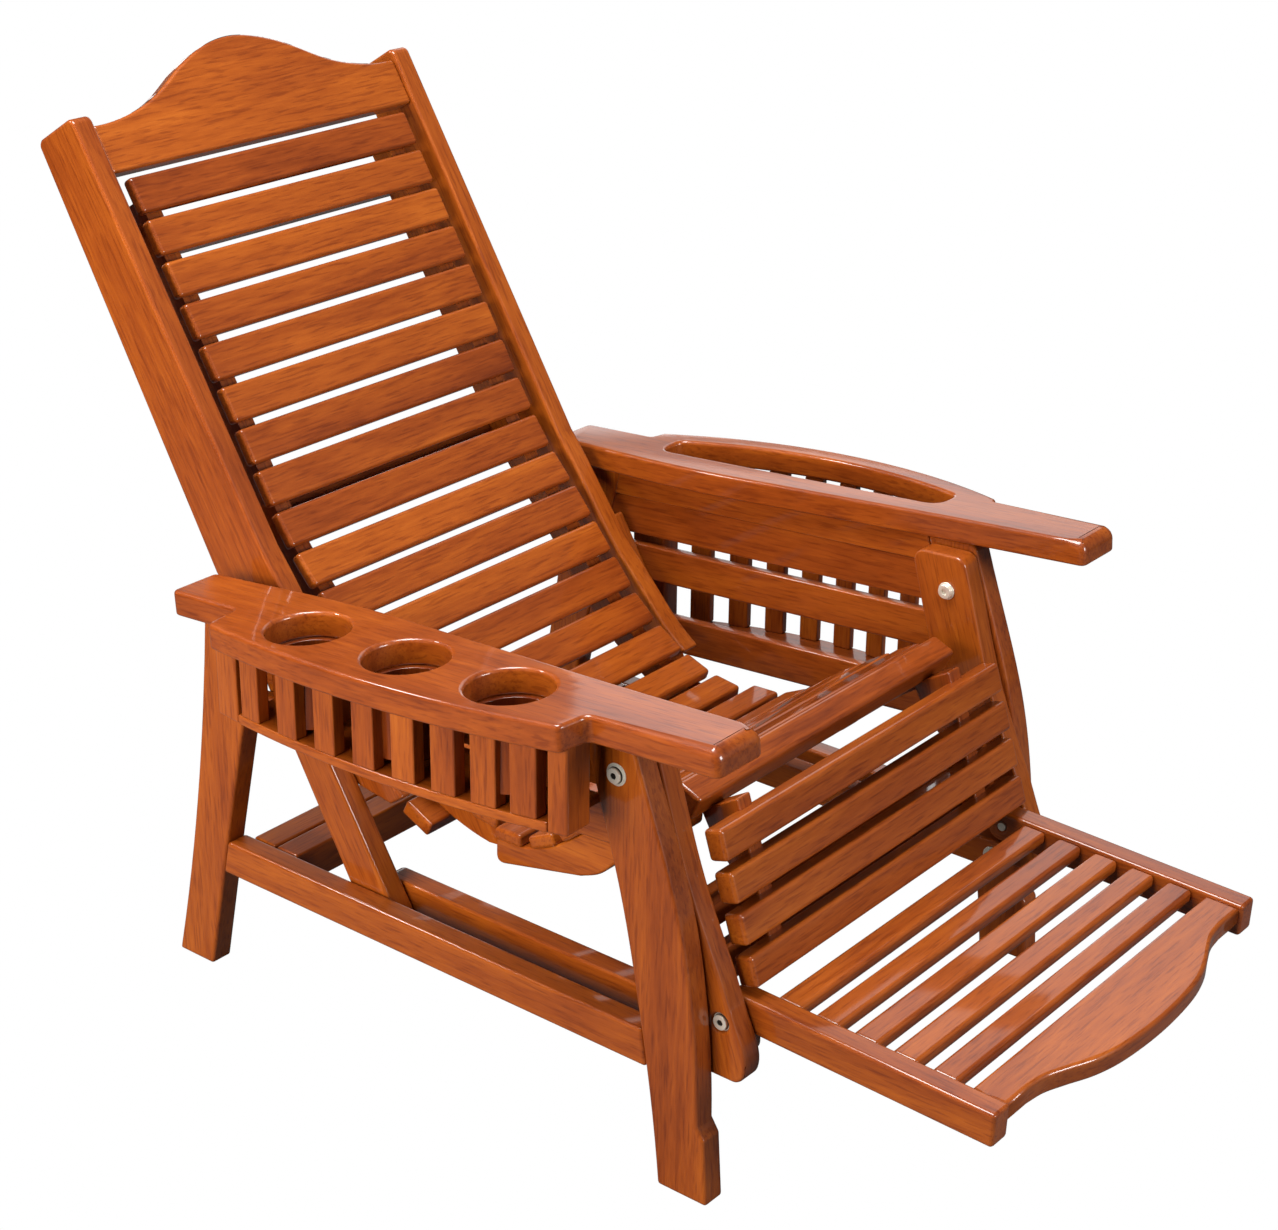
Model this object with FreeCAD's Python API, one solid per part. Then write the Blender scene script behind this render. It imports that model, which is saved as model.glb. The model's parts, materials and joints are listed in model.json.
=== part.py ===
import FreeCAD, Part
import math
import os

# Reclining wooden lounger. It faces -Y, +Z is up and X = 0 is its mid-plane.
# Sizes are in millimetres. Side profiles are drawn as (y, z) points, with y measured
# from the toes of the front legs and z from the floor.
# The sitter's right arm (-X) carries three cups, the left arm (+X) a magazine rack.
V = FreeCAD.Vector

# Layers of timber on each side, from the outside in
HALF_WIDTH = 313.0          # mid-plane to the outer faces of the legs
LEG_T = 28.0                # legs and lower rails
LINK_T = 27.0               # leg-rest arms
STILE_T = 27.0              # back stiles and footrest rails
ROD_T = 26.0                # push rods
PLAY = 1.0                  # side gap between pieces that swing past each other
LEG_IN = HALF_WIDTH - LEG_T
LINK_OUT = LEG_IN - PLAY
LINK_IN = LINK_OUT - LINK_T
STILE_OUT = LINK_IN - PLAY
STILE_IN = STILE_OUT - STILE_T

# Armrests: flat boards that fall towards the rear
ARM_HEIGHT = 524.5          # top face, above the toes
ARM_FALL = math.radians(3.95)
ARM_T = 28.0
ARM_NOSE_Y = -29.0
ARM_TAIL_Y = 705.0
ARM_NOSE_X = 353.0          # outer edge of the narrow front part
ARM_TAIL_X = 343.0          # outer edge of the narrow rear part
ARM_INNER = [(286.0, ARM_NOSE_Y), (280.5, 150.0), (271.0, 340.0), (265.5, 510.0), (280.0, ARM_TAIL_Y)]
BULGE_FRONT_Y = 127.0
BULGE_REAR_Y = 600.0
BULGE_X = 387.5             # outer edge at both corners of the bulge
BULGE_RISE = 20.5           # how far the bulge bows out between them
NOTCH_SKEW = 5.0            # the notches run back a little towards the seat
CORNER_R = 9.0
BULLNOSE_R = 16.0

# Legs
TOE_H = 74.0
TOE_STEP = 9.0
FRONT_LEG_FRONT = [(17.0, 88.0), (20.0, 161.0), (28.0, 232.0), (44.0, 312.0), (80.0, 420.0)]
FRONT_LEG_TOP_Y = 104.0
FRONT_LEG_REAR = [(64.5, 0.0), (75.0, 92.0), (92.0, 198.0), (114.0, 307.0), (140.0, 400.0)]
FRONT_LEG_TOP_REAR_Y = 165.0
REAR_LEG_FOOT = (711.5, 767.0)
REAR_LEG_MID = (647.0, 708.0)
REAR_LEG_MID_Z = 287.0
REAR_LEG_TOP = (606.0, 688.0)

# Rails of the base
RAIL_BOTTOM = 130.0
RAIL_TOP = 171.0
CROSS_FRONT_Y = 592.5
CROSS_W = 33.0
CROSS_SLIT = 2.5

# Boards between the legs, under the arms: distances below the arm's underside
STRIP_T = 8.0
BOARD_T = 6.5
HEAVY_BOARD_T = 13.0
STRIP_DROP = 31.0
UPPER_BOARD_DROP = 78.0
MIDDLE_BOARD_DROP = (90.0, 135.0)
LOWER_BOARD_DROP = (176.0, 222.0)

# Cups
CUP_R = 44.0
CUP_WALL = 3.0
CUP_DEPTH = 92.0
CUP_X = 340.0
CUP_YS = (228.0, 363.0, 500.0)

# Slot in the left arm
SLOT_FRONT_Y = 172.0
SLOT_REAR_Y = 553.0
SLOT_INNER = [(311.0, 200.0), (304.0, 340.0), (298.0, 525.0)]
SLOT_BULGE_INSET = 21.0

# Racks
RACK_SETBACK = 14.0
RACK_BOARD_T = 11.0
RACK_POST_W = 22.0
RACK_REAR_POST_W = 36.0
RACK_POST_DEPTH = 34.0
RACK_SLATS = 8
RACK_SLAT_W = 30.0
CUP_SLAT_DEPTH = 22.0
MAGAZINE_SLAT_DEPTH = 10.0
CUP_RACK_FLOOR_Z = 411.0    # top face of the shallow rack's floor above the toes
CUP_RACK_FALL = math.radians(2.58)
RACK_END_GAP = 1.5          # the front post stands this far behind the notch

# Pivots
PIVOT_R = 5.0
PIVOT_CLEARANCE = 0.05
HEAD_R = 10.0
HEAD_H = 5.5
WASHER_H = 1.6
HEX_R = 3.6
SEAT_GAP = 0.3
ARM_PIVOT = (119.0, 440.0)      # leg-rest arm on the front leg
FOOT_PIVOT = (13.5, 194.5)      # footrest on the leg-rest arm
ROD_Z = 156.0
ROD_FRONT_Y = 22.0              # push rod on the leg-rest arm
ROD_REAR_Y = 473.0              # push rod on the back's lever
BACK_PIVOT = (581.0, 344.0)     # back on the middle side board
SEAT_PIVOT = (340.0, 240.0)     # seat rail on the back's bearer
ROD_DEPTH = 36.0
ROD_HOLE_SLACK = 3.0            # the rod's front eye is this much larger than its pin

# Back: its front plane is y = BACK_SLOPE * z + BACK_Y0
BACK_SLOPE = 0.609
BACK_Y0 = 348.5
BACK_LEAN = math.atan(BACK_SLOPE)
STILE_TOP_Z = 931.0
STILE_TOP_DEPTH = 69.0
STILE_LOW_DEPTH = 87.0
STILE_BEND_Z = 505.0
SLAT_RECESS = 4.0
CREST_Z = 871.0
CREST_T = 24.0
CREST_CLIMB = [(0.0, 122.5), (51.0, 113.0), (88.0, 97.0), (127.0, 75.5), (165.0, 62.0)]
CREST_SHOULDER = 55.5
BACK_SLATS = 15
BACK_SLAT_W = 41.0
BACK_SLAT_PITCH = 48.8
BACK_SLAT_HALF = 212.5
SLAT_T = 15.0
SLAT_ROUND = 3.0
LEVER_HALF_W = 30.0
LEVER_SLOPE = (BACK_PIVOT[0] - ROD_REAR_Y) / (BACK_PIVOT[1] - ROD_Z)

# Bearers under the slats, inside the stiles
BEARER_OUT = 199.0
BEARER_T = 22.0
BEARER_DEPTH = 30.0
BATTEN_T = 18.0
BATTEN_W = 40.0
BATTEN_PLACES = (70.0, 400.0, 740.0)

# Seat and the valley between seat and back: the upper surface of the slats
VALLEY = [(642.0, 486.0), (608.0, 449.0), (576.0, 411.0), (545.0, 374.0), (513.0, 338.0),
          (476.0, 308.0), (438.0, 286.0), (396.0, 272.0), (352.0, 267.0), (318.0, 269.0),
          (290.0, 279.0), (243.0, 312.0), (200.0, 342.0), (163.0, 366.0), (126.0, 388.0)]
SEAT_SLAT_PITCH = 44.6
SEAT_SLAT_W = 36.5
VALLEY_SLATS = 2
SEAT_SLATS = 6
SEAT_SLAT_HALF = 227.0
SEAT_RAIL_T = 23.0
SEAT_RAIL_DEPTH = 36.0
KNEE = (95.0, 392.0)            # middle of the upper face of the knee slat
KNEE_TILT = math.radians(40.0)
KNEE_W = 30.0
KNEE_T = 20.0
SEAT_RAIL_BELLY = [(112.0, 325.0), (150.0, 279.0), (205.0, 247.0), (280.0, 226.0)]
RIDE_SLOPE = 0.6                # the tops of the calf bearers fall to the rear at this rate

# Leg rest
CALF_TOP = (40.0, 368.0)        # front upper arris of the highest calf slat
CALF_LEAN = math.radians(17.7)
CALF_SLATS = 4
CALF_PITCH = 40.4
CALF_SLAT_W = 33.0
CALF_HALF = 249.0
CALF_BEARER_DEPTH = 28.0
CALF_RAIL_W = 36.0
CALF_RAIL_T = 20.0
CALF_RAIL_PLACES = (76.0, 134.0)
LINK_FRONT = [(-17.5, 158.0), (-5.0, 194.0), (14.5, 242.0), (40.0, 298.0), (65.5, 365.5), (97.0, 470.0)]
LINK_REAR = [(46.0, 150.0), (66.0, 194.0), (90.0, 242.0), (114.0, 298.0), (137.0, 369.0), (162.0, 455.0)]
LINK_BOTTOM_Z = 134.0
LINK_TOP_Z = 482.0

# Footrest
FOOT_TILT = math.radians(2.1)
FOOT_RAIL_DEPTH = 36.5
FOOT_RAIL_END_Y = -278.0
FOOT_SLATS = 5
FOOT_SLAT_W = 28.5
FOOT_SLAT_PITCH = 44.4
FOOT_FIRST_Y = -14.0
FOOT_SLAT_DROP = 3.0
FOOT_BOARD_Y = -235.5
FOOT_BOARD_T = 22.0
FOOT_SHOULDER_Y = -274.0
FOOT_OGEE = [(0.0, -312.0), (64.0, -308.5), (106.0, -300.0), (140.0, -286.5), (165.0, -277.5), (190.0, -274.0)]


def point(p):
    return V(0, p[0], p[1])


def line(p, q):
    return Part.makeLine(point(p), point(q))


def spline(points):
    curve = Part.BSplineCurve()
    curve.interpolate([point(p) for p in points])
    return curve.toShape()


def side_piece(edges, x_from, x_to):
    """A board cut to a closed side outline, from one x to another."""
    face = Part.Face(Part.Wire(Part.__sortEdges__(edges)))
    face.translate(V(x_from, 0, 0))
    return face.extrude(V(x_to - x_from, 0, 0))


def side_polygon(points, x_from, x_to):
    edges = [line(p, q) for p, q in zip(points, points[1:] + points[:1])]
    return side_piece(edges, x_from, x_to)


def round_corners(shape, radius, corners):
    """Round the edges along X that pass near the given (y, z) corners."""
    picked = []
    for edge in shape.Edges:
        a = edge.Vertexes[0].Point
        b = edge.Vertexes[-1].Point
        along_x = abs(a.x - b.x) > 1 and abs(a.y - b.y) < 0.01 and abs(a.z - b.z) < 0.01
        if along_x and any(math.hypot(a.y - y, a.z - z) < 1 for y, z in corners):
            picked.append(edge)
    return shape.makeFillet(radius, picked)


def pin(at, x_from, x_to, radius):
    return Part.makeCylinder(radius, x_to - x_from, V(x_from, at[0], at[1]), V(1, 0, 0))


def bolt_head(at, x_face, side):
    """Washer and round head with a hexagon socket, seated on a face that looks to one side."""
    washer = Part.makeCylinder(HEAD_R, WASHER_H, V(x_face, at[0], at[1]), V(side, 0, 0))
    base = V(x_face + side * WASHER_H, at[0], at[1])
    head = Part.makeCylinder(0.8 * HEAD_R, HEAD_H - WASHER_H, base, V(side, 0, 0))
    ring = [V(x_face + side * (HEAD_H - 2), at[0] + HEX_R * math.cos(k * math.pi / 3),
              at[1] + HEX_R * math.sin(k * math.pi / 3)) for k in range(7)]
    socket = Part.Face(Part.makePolygon(ring)).extrude(V(side * 4, 0, 0))
    return washer.fuse(head).cut(socket)


def mirrored(shape):
    return shape.mirror(V(0, 0, 0), V(1, 0, 0))


def pair(shape):
    return Part.makeCompound([mirrored(shape), shape])


def slat(top, slope, width, thickness, half_length):
    """A rounded board across the chair. top is the middle of its upper face in (y, z) and
    slope the direction of that face, as an angle from +Y."""
    r = min(SLAT_ROUND, 0.4 * thickness)
    box = Part.makeBox(2 * half_length, width, thickness, V(-half_length, -width / 2, -thickness))
    long_edges = [e for e in box.Edges if abs(e.Vertexes[0].X - e.Vertexes[-1].X) > 1]
    bar = box.makeFillet(r, long_edges)
    bar.rotate(V(0, 0, 0), V(1, 0, 0), math.degrees(slope))
    bar.translate(point(top))
    return bar


def walk(curve, start, length):
    """Point and direction at a distance along a curve, from its parameter at start."""
    t = curve.parameterAtDistance(length, start)
    return curve.value(t), curve.tangent(t)[0]


def arm_underside(y, drop=0.0):
    return ARM_HEIGHT - y * math.tan(ARM_FALL) - (ARM_T + drop) / math.cos(ARM_FALL)


def under_arm(drop_top, drop_bottom, x_from, x_to, y_from=0.0, y_to=800.0):
    """A board parallel to the arm, between two distances below its underside."""
    corners = [(y_from, arm_underside(y_from, drop_bottom)), (y_to, arm_underside(y_to, drop_bottom)),
               (y_to, arm_underside(y_to, drop_top)), (y_from, arm_underside(y_from, drop_top))]
    return side_polygon(corners, x_from, x_to)


nodes = {}


# Legs and lower rails
def front_leg():
    toe = [line((64.5, 0), (3.0, 0)), line((3.0, 0), (3.0 + 5.0, TOE_H)),
           line((3.0 + 5.0, TOE_H), FRONT_LEG_FRONT[0])]
    top_front = (FRONT_LEG_TOP_Y, arm_underside(FRONT_LEG_TOP_Y))
    top_rear = (FRONT_LEG_TOP_REAR_Y, arm_underside(FRONT_LEG_TOP_REAR_Y))
    edges = toe + [spline(FRONT_LEG_FRONT + [top_front]), line(top_front, top_rear),
                   spline(FRONT_LEG_REAR + [top_rear])]
    leg = side_piece(edges, LEG_IN, HALF_WIDTH)
    leg = round_corners(leg, 6.0, [(3.0 + 5.0, TOE_H)])
    leg = round_corners(leg, 12.0, [top_front])
    return leg.cut(pin(ARM_PIVOT, LEG_IN - 1, HALF_WIDTH + 1, PIVOT_R + PIVOT_CLEARANCE))


def rear_leg():
    top = [(y, arm_underside(y)) for y in REAR_LEG_TOP]
    front = [(REAR_LEG_FOOT[0], 0.0), (REAR_LEG_MID[0], REAR_LEG_MID_Z), top[0]]
    rear = [(REAR_LEG_FOOT[1], 0.0), (REAR_LEG_MID[1], REAR_LEG_MID_Z), top[1]]
    edges = [spline(front), line(top[0], top[1]), spline(rear), line(rear[0], front[0])]
    return side_piece(edges, LEG_IN, HALF_WIDTH)


leg_front = front_leg()
leg_rear = rear_leg()
lower_rail = side_polygon([(50, RAIL_BOTTOM), (750, RAIL_BOTTOM), (750, RAIL_TOP), (50, RAIL_TOP)],
                          LEG_IN, HALF_WIDTH).cut(leg_front).cut(leg_rear)
lower_rail = max(lower_rail.Solids, key=lambda s: s.Volume)
for name, side in (("cup_side", mirrored), ("rack_side", lambda s: s)):
    nodes["front_leg_" + name] = side(leg_front)
    nodes["rear_leg_" + name] = side(leg_rear)
    nodes["lower_rail_" + name] = side(lower_rail)

cross_rear_y = CROSS_FRONT_Y + CROSS_W + CROSS_SLIT
for name, y in (("front", CROSS_FRONT_Y), ("rear", cross_rear_y)):
    nodes["cross_rail_" + name] = Part.makeBox(2 * LEG_IN, CROSS_W, RAIL_TOP - RAIL_BOTTOM,
                                               V(-LEG_IN, y, RAIL_BOTTOM))


# Boards between the legs
def between_legs(drop_top, drop_bottom, thickness):
    board = under_arm(drop_top, drop_bottom, LEG_IN, LEG_IN + thickness, 90.0, 680.0)
    board = board.cut(leg_front).cut(leg_rear)
    return max(board.Solids, key=lambda s: s.Volume)


middle_board = between_legs(MIDDLE_BOARD_DROP[0], MIDDLE_BOARD_DROP[1], HEAVY_BOARD_T)
middle_board = middle_board.cut(pin(BACK_PIVOT, LEG_IN - 1, HALF_WIDTH, PIVOT_R + PIVOT_CLEARANCE))
nodes["apron_strips"] = pair(between_legs(0.0, STRIP_DROP, STRIP_T))
nodes["upper_side_boards"] = pair(between_legs(STRIP_DROP, UPPER_BOARD_DROP, STRIP_T).cut(
    Part.makeBox(STRIP_T - BOARD_T, 900, 400, V(LEG_IN, 0, arm_underside(0, 2 * UPPER_BOARD_DROP)))))
nodes["middle_side_boards"] = pair(middle_board)
nodes["lower_side_board"] = between_legs(LOWER_BOARD_DROP[0], LOWER_BOARD_DROP[1], HEAVY_BOARD_T)

# Armrests. The outer edge of the bulge is an arc; racks and slot follow it at an offset.
bulge_mid_y = (BULGE_FRONT_Y + BULGE_REAR_Y) / 2
half_chord = (BULGE_REAR_Y - BULGE_FRONT_Y) / 2
BULGE_R = (half_chord ** 2 + BULGE_RISE ** 2) / (2 * BULGE_RISE)
bulge_centre_x = BULGE_X + BULGE_RISE - BULGE_R


def bulge_x(y, inset=0.0):
    return bulge_centre_x + math.sqrt((BULGE_R - inset) ** 2 - (y - bulge_mid_y) ** 2)


def bulge_arc(y_from, y_to, inset=0.0):
    ends = [V(bulge_x(y, inset), y, 0) for y in (y_from, (y_from + y_to) / 2, y_to)]
    return Part.Arc(*ends).toShape()


def plan_spline(points):
    curve = Part.BSplineCurve()
    curve.interpolate([V(x, y, 0) for x, y in points])
    return curve.toShape()


def plan_lines(points):
    return [Part.makeLine(V(a[0], a[1], 0), V(b[0], b[1], 0)) for a, b in zip(points, points[1:])]


def plan_piece(edges, z_from, z_to):
    face = Part.Face(Part.Wire(Part.__sortEdges__(edges)))
    face.translate(V(0, 0, z_from))
    return face.extrude(V(0, 0, z_to - z_from))


def lay_on_arm(shape):
    """From the flat drawing of the arm, top face at z = 0, to its place on the chair."""
    shape.rotate(V(0, 0, 0), V(1, 0, 0), -math.degrees(ARM_FALL))
    shape.translate(V(0, 0, ARM_HEIGHT))
    return shape


def arm_blank():
    outer = plan_lines([(ARM_INNER[-1]), (ARM_TAIL_X, ARM_TAIL_Y),
                        (ARM_TAIL_X, BULGE_REAR_Y + NOTCH_SKEW), (BULGE_X, BULGE_REAR_Y)])
    nose = plan_lines([(BULGE_X, BULGE_FRONT_Y), (ARM_NOSE_X, BULGE_FRONT_Y - NOTCH_SKEW),
                       (ARM_NOSE_X, ARM_NOSE_Y), ARM_INNER[0]])
    edges = outer + [bulge_arc(BULGE_FRONT_Y, BULGE_REAR_Y)] + nose + [plan_spline(ARM_INNER)]
    blank = plan_piece(edges, -ARM_T, 0.0)
    upright = [e for e in blank.Edges if abs(e.Vertexes[0].Z - e.Vertexes[-1].Z) > 1]
    blank = blank.makeFillet(CORNER_R, upright)
    front = [e for e in blank.Edges if e.BoundBox.YMax < ARM_NOSE_Y + 0.1 and e.BoundBox.ZMin > -0.1]
    return blank.makeFillet(BULLNOSE_R, front)


def cup_bore(y, radius, z_from, z_to):
    bore = Part.makeCylinder(radius, z_to - z_from, V(CUP_X, y / math.cos(ARM_FALL), z_from))
    return lay_on_arm(bore)


arm = lay_on_arm(arm_blank())
arm_with_cups = arm
for cup_y in CUP_YS:
    arm_with_cups = arm_with_cups.cut(cup_bore(cup_y, CUP_R, -ARM_T - 1, 1))
nodes["armrest_cups"] = mirrored(arm_with_cups)

slot_outer = bulge_arc(SLOT_FRONT_Y + 20, SLOT_REAR_Y - 20, SLOT_BULGE_INSET)
slot_ends = plan_lines([SLOT_INNER[0], (bulge_x(SLOT_FRONT_Y + 20, SLOT_BULGE_INSET), SLOT_FRONT_Y + 20)])
slot_ends += plan_lines([SLOT_INNER[-1], (bulge_x(SLOT_REAR_Y - 20, SLOT_BULGE_INSET), SLOT_REAR_Y - 20)])
slot = plan_piece([slot_outer, plan_spline(SLOT_INNER)] + slot_ends, -ARM_T - 1, 1)
nodes["armrest_slot"] = arm.cut(lay_on_arm(slot))


# Racks under the arms
def cup_rack_floor(y):
    return CUP_RACK_FLOOR_Z - y * math.tan(CUP_RACK_FALL)


def magazine_floor(y):
    return arm_underside(y, LOWER_BOARD_DROP[1] - RACK_BOARD_T)


def rack_pieces(floor, slat_depth):
    """Slats, end posts and floor of a rack whose outside follows the bulge of the arm."""
    y_first = BULGE_FRONT_Y + RACK_END_GAP
    y_last = BULGE_REAR_Y - 30.0
    high = [(0.0, arm_underside(0.0)), (800.0, arm_underside(800.0))]
    low = [(800.0, floor(800.0)), (0.0, floor(0.0))]
    bottom = [(800.0, floor(800.0) - RACK_BOARD_T), (0.0, floor(0.0) - RACK_BOARD_T)]
    above_floor = side_polygon(high + low, 250, 450)
    whole_height = side_polygon(high + bottom, 250, 450)
    floor_layer = side_polygon([low[1], low[0], bottom[0], bottom[1]], 250, 450)

    def upright(y_from, y_to, depth, layer):
        inner = bulge_arc(y_from, y_to, RACK_SETBACK + depth)
        outer = bulge_arc(y_from, y_to, RACK_SETBACK)
        ends = [Part.makeLine(outer.Vertexes[k].Point, inner.Vertexes[k].Point) for k in (0, 1)]
        return plan_piece([outer, inner] + ends, 100, 600).common(layer)

    free = y_last - y_first - RACK_POST_W - RACK_SLATS * RACK_SLAT_W
    gap = free / (RACK_SLATS + 1)
    y = y_first + RACK_POST_W + gap
    slats = []
    for _ in range(RACK_SLATS):
        slats.append(upright(y, y + RACK_SLAT_W, slat_depth, above_floor))
        y += RACK_SLAT_W + gap
    posts = [upright(y_first, y_first + RACK_POST_W, RACK_POST_DEPTH, whole_height),
             upright(y_last, y_last + RACK_REAR_POST_W, RACK_POST_DEPTH, whole_height)]
    posts[1] = round_corners(posts[1], 12.0, [(y_last + RACK_REAR_POST_W, z) for z in
                                              (floor(y_last + RACK_REAR_POST_W) - RACK_BOARD_T,)])
    y0 = y_first + RACK_POST_W
    plan = [bulge_arc(y0, y_last, RACK_SETBACK)]
    plan += plan_lines([(bulge_x(y0, RACK_SETBACK), y0), (LEG_IN + HEAVY_BOARD_T, y0),
                        (LEG_IN + HEAVY_BOARD_T, y_last), (bulge_x(y_last, RACK_SETBACK), y_last)])
    board = plan_piece(plan, 100, 600).common(floor_layer)
    return slats, posts, board, above_floor


cup_slats, cup_posts, cup_board, cup_space = rack_pieces(cup_rack_floor, CUP_SLAT_DEPTH)
cups = []
for cup_y in CUP_YS:
    body = cup_bore(cup_y, CUP_R + CUP_WALL, -2 * CUP_DEPTH, 0).common(cup_space)
    cup_slats = [s.cut(body) for s in cup_slats]
    cups.append(body.cut(cup_bore(cup_y, CUP_R, -CUP_DEPTH, 1)))
for name, cup in zip(("front", "middle", "rear"), cups):
    nodes["cup_" + name] = mirrored(cup)
nodes["cup_rack_slats"] = mirrored(Part.makeCompound(cup_slats))
nodes["cup_rack_posts"] = mirrored(Part.makeCompound(cup_posts))
nodes["cup_rack_floor"] = mirrored(cup_board)

rack_slats, rack_posts, rack_board, _ = rack_pieces(magazine_floor, MAGAZINE_SLAT_DEPTH)
nodes["magazine_rack_slats"] = Part.makeCompound(rack_slats)
nodes["magazine_rack_posts"] = Part.makeCompound(rack_posts)
nodes["magazine_rack_floor"] = rack_board


# Back
def back_y(z, recess=0.0):
    return BACK_SLOPE * z + BACK_Y0 + recess / math.cos(BACK_LEAN)


along_back = (math.sin(BACK_LEAN), math.cos(BACK_LEAN))
into_back = (math.cos(BACK_LEAN), -math.sin(BACK_LEAN))


def off_back(z, depth):
    """The point behind the back's front plane, square to it, at the height z of the plane."""
    return (back_y(z) + depth * into_back[0], z + depth * into_back[1])


stile_top = (back_y(STILE_TOP_Z), STILE_TOP_Z)
stile_top_rear = off_back(STILE_TOP_Z, STILE_TOP_DEPTH)
stile_bend = (back_y(STILE_BEND_Z), STILE_BEND_Z)
stile_bend_rear = off_back(STILE_BEND_Z, STILE_LOW_DEPTH)
foot_tip = (458.0, 276.0)
foot_heel = (476.0, 262.0)
stile = side_piece([
    line(stile_top, stile_bend),
    spline([stile_bend, (602.0, 432.0), (560.0, 376.0), (529.0, 343.0), (492.0, 303.0), foot_tip]),
    line(foot_tip, foot_heel),
    spline([foot_heel, (540.0, 272.0), (610.0, 296.0), (664.0, 360.0), stile_bend_rear]),
    line(stile_bend_rear, stile_top_rear), line(stile_top_rear, stile_top)], STILE_IN, STILE_OUT)
stile = round_corners(stile, 9.0, [stile_top, stile_top_rear])
pivot_hole = pin(BACK_PIVOT, STILE_IN - 1, LEG_IN, PIVOT_R + PIVOT_CLEARANCE)
stile = stile.cut(pivot_hole)
nodes["back_stile_cup_side"] = mirrored(stile)
nodes["back_stile_rack_side"] = stile

lever_axis = (math.sin(math.atan(LEVER_SLOPE)), math.cos(math.atan(LEVER_SLOPE)))
lever_side = (lever_axis[1] * LEVER_HALF_W, -lever_axis[0] * LEVER_HALF_W)
lever_foot = (ROD_REAR_Y, ROD_Z)
lever_head = (BACK_PIVOT[0] + 62 * lever_axis[0], BACK_PIVOT[1] + 62 * lever_axis[1])
lever_heel = (lever_foot[0] - 26 * lever_axis[0], lever_foot[1] - 26 * lever_axis[1])
lever_corners = [(p[0] + s * lever_side[0], p[1] + s * lever_side[1])
                 for p, s in ((lever_heel, -1), (lever_heel, 1), (lever_head, 1), (lever_head, -1))]
lever = side_polygon(lever_corners, STILE_OUT, LINK_OUT)
lever = round_corners(lever, 22.0, lever_corners)
rod_rear_hole = pin(lever_foot, STILE_IN - 2, LINK_OUT + 1, PIVOT_R)
nodes["back_levers"] = pair(lever.cut(pivot_hole).cut(rod_rear_hole))

crest = plan_lines([(-STILE_IN, 0), (STILE_IN, 0), (STILE_IN, CREST_SHOULDER)])
crest += [plan_spline([(STILE_IN, CREST_SHOULDER)] + CREST_CLIMB[::-1] + [(-x, z) for x, z in CREST_CLIMB[1:]]
                      + [(-STILE_IN, CREST_SHOULDER)])]
crest += plan_lines([(-STILE_IN, CREST_SHOULDER), (-STILE_IN, 0)])
crest = plan_piece(crest, -CREST_T, 0)
crest.rotate(V(0, 0, 0), V(1, 0, 0), 90 - math.degrees(BACK_LEAN))
crest.translate(V(0, back_y(CREST_Z, SLAT_RECESS), CREST_Z))
nodes["crest_rail"] = crest

# The upper surface of all slats, from the top of the back through the valley to the knee
first_slat_z = CREST_Z - 0.5 * (BACK_SLAT_PITCH - BACK_SLAT_W) * along_back[1]
surface = Part.BSplineCurve()
straight = [(back_y(z, SLAT_RECESS), z) for z in (CREST_Z, 800.0, 700.0, 610.0, 540.0)]
surface.interpolate([point(p) for p in straight + VALLEY])
start = surface.FirstParameter
slats = []
distance = BACK_SLAT_PITCH / 2 + 4
for _ in range(BACK_SLATS):
    place, way = walk(surface, start, distance)
    slats.append(slat((place.y, place.z), math.atan2(-way.z, -way.y), BACK_SLAT_W, SLAT_T, BACK_SLAT_HALF))
    distance += BACK_SLAT_PITCH
nodes["back_slats"] = Part.makeCompound(slats)
distance -= (BACK_SLAT_PITCH - SEAT_SLAT_PITCH) / 2
slats = []
for _ in range(VALLEY_SLATS):
    place, way = walk(surface, start, distance)
    slats.append(slat((place.y, place.z), math.atan2(-way.z, -way.y), SEAT_SLAT_W, SLAT_T, BACK_SLAT_HALF))
    distance += SEAT_SLAT_PITCH
nodes["valley_slats"] = Part.makeCompound(slats)
back_end = distance - SEAT_SLAT_PITCH / 2
slats = []
for _ in range(SEAT_SLATS):
    place, way = walk(surface, start, distance)
    slats.append(slat((place.y, place.z), math.atan2(-way.z, -way.y), SEAT_SLAT_W, SLAT_T, SEAT_SLAT_HALF))
    distance += SEAT_SLAT_PITCH
seat_slats = slats


def offset_points(d_from, d_to, depth, count):
    """Points at a depth under the upper surface of the slats, evenly spaced along it."""
    points = []
    for k in range(count):
        place, way = walk(surface, start, d_from + (d_to - d_from) * k / (count - 1))
        points.append((place.y - depth * way.z, place.z + depth * way.y))
    return points


seat_joint = pin(SEAT_PIVOT, 150, 250, PIVOT_R + PIVOT_CLEARANCE)
bearer_in = BEARER_OUT - BEARER_T
bearer_front = offset_points(30, back_end - 10, SLAT_T, 22)
bearer_rear = offset_points(30, back_end - 22, SLAT_T + BEARER_DEPTH, 22)
tongue = [(SEAT_PIVOT[0] + 21, SEAT_PIVOT[1] + 3), (SEAT_PIVOT[0] - 9, SEAT_PIVOT[1] + 9),
          (SEAT_PIVOT[0] - 9, SEAT_PIVOT[1] - 10)]
bearer = side_piece([spline(bearer_front), line(bearer_front[-1], tongue[0]), line(tongue[0], tongue[1]),
                     line(tongue[1], tongue[2]), line(tongue[2], bearer_rear[-1]), spline(bearer_rear),
                     line(bearer_rear[0], bearer_front[0])], bearer_in, BEARER_OUT)
bearer = round_corners(bearer, 6.0, tongue[1:])
for shape in nodes["back_slats"].Solids + nodes["valley_slats"].Solids:
    bearer = bearer.cut(shape)
nodes["back_bearers"] = pair(bearer.cut(pin(SEAT_PIVOT, 150, 250, PIVOT_R)))
battens = []
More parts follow.
